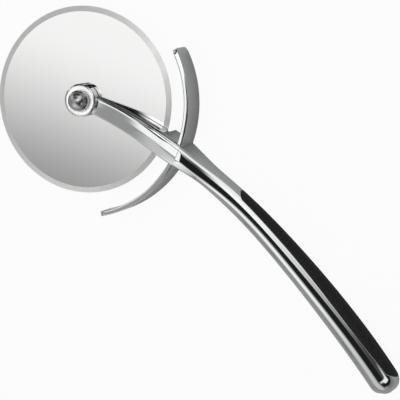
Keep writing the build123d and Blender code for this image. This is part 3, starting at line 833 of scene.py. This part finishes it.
# The plain cards: name, lowest and highest corner, strength, and soft edges as axis, place where the
# card is clear and place where it glows in full.
CARDS = [
    # black, in front of the panel, for the dark line along the neck
    (
        "black_card", (-0.17, -0.25, PANEL_HEIGHT), (0.3, -0.03, PANEL_HEIGHT), 0.02,
        [("X", -0.165, -0.145), ("Y", -0.235, -0.2)],
    ),
    # upright before the handle, for the bright line under the dark one
    (
        "front_card", (-0.14, -0.3, 0.05), (0.1, -0.3, 0.51), 1.64,
        [("Z", 0.06, 0.23), ("Z", 0.5, 0.3), ("X", -0.13, -0.05), ("X", 0.09, -0.02)],
    ),
    # small, over the arm's root, for the white band on its upper facet
    (
        "root_card", (-0.13, -0.15, 0.3), (-0.06, -0.04, 0.3), 1.68,
        [("X", -0.106, -0.094), ("X", -0.065, -0.08), ("Y", -0.112, -0.1), ("Y", -0.045, -0.06)],
    ),
    # small, close above the nut, for the soft white spot on its ball
    (
        "nut_card", (-0.11, 0.0, 0.12), (-0.06, 0.06, 0.12), 3.0,
        [("X", -0.105, -0.088), ("X", -0.065, -0.082), ("Y", 0.012, 0.025), ("Y", 0.055, 0.035)],
    ),
    # low over the handle's end, for the white spot where the dark line stops
    (
        "end_card", (0.14, -0.07, 0.2), (0.3, 0.15, 0.2), 1.4,
        [("X", 0.148, 0.165), ("X", 0.295, 0.26), ("Y", -0.06, -0.03), ("Y", 0.145, 0.1)],
    ),
]
for name, low, high, strength, edges in CARDS:
    tree, at = card(name, low, high)
    shine(tree, strength, window(tree, at, *edges))
# The two that come close are for the metal alone, so they don't light the ring, the grip or the table.
for name in ("nut_card", "end_card"):
    scene.objects[name].visible_diffuse = False

# A soft lamp high on the left, which only matte surfaces show.
lamp = bpy.data.lights.new("fill", "AREA")
lamp.shape, lamp.size, lamp.energy = "DISK", 0.6, 7.5
fill = bpy.data.objects.new("fill", lamp)
scene.collection.objects.link(fill)
fill.location = (-0.35, -0.1, 1.1)
fill.rotation_euler = (0.0, -0.25, 0.0)
fill.visible_camera = fill.visible_glossy = False

# The room by direction. In front stands the broad reflector that the blade mirrors as its gradient,
# from FRONT_LOW up to FRONT_LOW + FRONT_RISE. Over the gap the room is nearly black, but for a grey
# wall low behind the table, a pale one to the left and a bright strip for the arm's ridge.
ROOM_DARK, WALL, PALE, STRIP = 0.02, 0.5, 1.0, 0.75
FRONT_LOW, FRONT_RISE, STEEP_RISE, HORIZON = 0.5, 1.1, 0.4, 0.45
world = bpy.data.worlds.new("studio")
scene.world = world
world.use_nodes = True
tree = world.node_tree
tree.nodes.clear()
toward = add(tree, "ShaderNodeTexCoord")["Generated"]
parts = add(tree, "ShaderNodeSeparateXYZ", {"Vector": toward})
at = {axis: parts[axis] for axis in "XYZ"}
# the gradient runs square to the photo's level lines, 17 degrees off the object's Y
at["slant"] = add(
    tree, "ShaderNodeVectorMath", {0: toward, 1: (-0.293, 0.956, 0)}, operation="DOT_PRODUCT"
)["Value"]
# the gap's lower edge leans 0.15 in Y for each 1 in X, and is level further to the left
lean = add(tree, "ShaderNodeMath", {0: at["X"], 1: 0.15}, operation="MULTIPLY")[0]
lean = add(tree, "ShaderNodeMath", {0: lean, 1: -0.03}, operation="MAXIMUM")[0]
at["gap"] = add(tree, "ShaderNodeMath", {0: at["Y"], 1: lean}, operation="ADD")[0]

left_edge = window(tree, at, ("X", -0.42, -0.36))
low_edge = window(tree, at, ("Y", -0.36, -0.29))
side = add(tree, "ShaderNodeMix", {"Factor": left_edge, 2: low_edge, 3: 1.0})[0]
front = window(tree, at, ("slant", -0.3002, -0.2122))
front = add(tree, "ShaderNodeMath", {0: front, 1: side}, operation="MULTIPLY")[0]
front = add(tree, "ShaderNodeMath", {0: front, 1: FRONT_RISE, 2: FRONT_LOW}, operation="MULTIPLY_ADD")[0]
steep = window(tree, at, ("Y", -0.42, -0.6), ("X", -0.38, -0.25))
front = add(tree, "ShaderNodeMath", {0: steep, 1: STEEP_RISE, 2: front}, operation="MULTIPLY_ADD")[0]
above = window(tree, at, ("Z", 0.0, 0.25))
front = add(tree, "ShaderNodeMix", {"Factor": above, 2: HORIZON, 3: front})[0]

to_right = add(
    tree, "ShaderNodeMapRange",
    {"Value": at["X"], "From Min": 0.0, "From Max": 0.2, "To Min": 1.0, "To Max": 0.6},
    interpolation_type="SMOOTHSTEP",
)[0]
wall = window(tree, at, ("Z", 0.5, 0.25), ("X", -0.5, -0.3))
wall = add(tree, "ShaderNodeMath", {0: wall, 1: to_right}, operation="MULTIPLY")[0]
pale = window(tree, at, ("X", -0.56, -0.66), ("Y", 0.1, 0.0), ("Z", 0.62, 0.5))
strip = window(tree, at, ("X", -0.52, -0.6), ("Y", 0.25, 0.4), ("Z", 0.4, 0.55))
room = ROOM_DARK
for part, level in ((wall, WALL), (pale, PALE), (strip, STRIP)):
    room = add(tree, "ShaderNodeMath", {0: part, 1: level, 2: room}, operation="MULTIPLY_ADD")[0]
over_gap = window(tree, at, ("gap", -0.268, -0.251))
strength = add(tree, "ShaderNodeMix", {"Factor": over_gap, 2: front, 3: room})[0]
sky = add(tree, "ShaderNodeBackground", {"Color": (1, 1, 1, 1), "Strength": strength})[0]
add(tree, "ShaderNodeOutputWorld", {"Surface": sky})

# White card table, a hair under the tool. To the camera it is mostly its own white, so the tool's
# shadow stays faint on it, and the metal mirrors a little of that white. Paper grain of 3.3 mm.
TABLE_HALF, TABLE_DROP = 3.0, -0.0002
OWN_WHITE, MIRRORED_WHITE, PAPER_GRAIN = 0.95, 0.12, 300.0
corners = [(x * TABLE_HALF, y * TABLE_HALF, TABLE_DROP) for x, y in ((-1, -1), (1, -1), (1, 1), (-1, 1))]
table_mesh = bpy.data.meshes.new("table")
table_mesh.from_pydata(corners, [], [(0, 1, 2, 3)])
floor = bpy.data.objects.new("table", table_mesh)
scene.collection.objects.link(floor)
table_white, tree = finish_of("white_card_table")
rays = add(tree, "ShaderNodeLightPath")
mirrored = add(
    tree, "ShaderNodeMath", {0: rays["Is Glossy Ray"], 1: rays["Is Transmission Ray"]}, operation="ADD"
)[0]
mirrored = add(tree, "ShaderNodeMath", {0: mirrored, 1: MIRRORED_WHITE}, operation="MULTIPLY")[0]
share = add(
    tree, "ShaderNodeMath", {0: rays["Is Camera Ray"], 1: OWN_WHITE, 2: mirrored}, operation="MULTIPLY_ADD"
)[0]
place_on = add(tree, "ShaderNodeTexCoord")["Object"]
grain = add(tree, "ShaderNodeTexNoise", {"Vector": place_on, "Scale": PAPER_GRAIN})["Fac"]
paper = add(
    tree, "ShaderNodeMix", {"Factor": grain, 6: linear("#a9a9a9"), 7: linear("#adadad")}, data_type="RGBA"
)[2]
matte = add(tree, "ShaderNodeBsdfDiffuse", {"Color": paper})[0]
white = add(tree, "ShaderNodeEmission", {"Strength": 1.0})[0]
mixed = add(tree, "ShaderNodeMixShader", {"Fac": share, 1: matte, 2: white})[0]
add(tree, "ShaderNodeOutputMaterial", {"Surface": mixed})
table_mesh.materials.append(table_white)
scene.view_settings.view_transform = "Standard"

# The photo's viewpoint, fitted to the wheel's ellipse and the handle's line.
camera = bpy.data.objects.new("camera", bpy.data.cameras.new("camera"))
scene.collection.objects.link(camera)
camera.data.sensor_width = 36
camera.data.lens = 168.477
camera.location = (0.160981, 0.326833, 0.924792)
camera.rotation_euler = [math.radians(angle) for angle in (-8.30861, 20.26737, 40.34541)]
scene.camera = camera
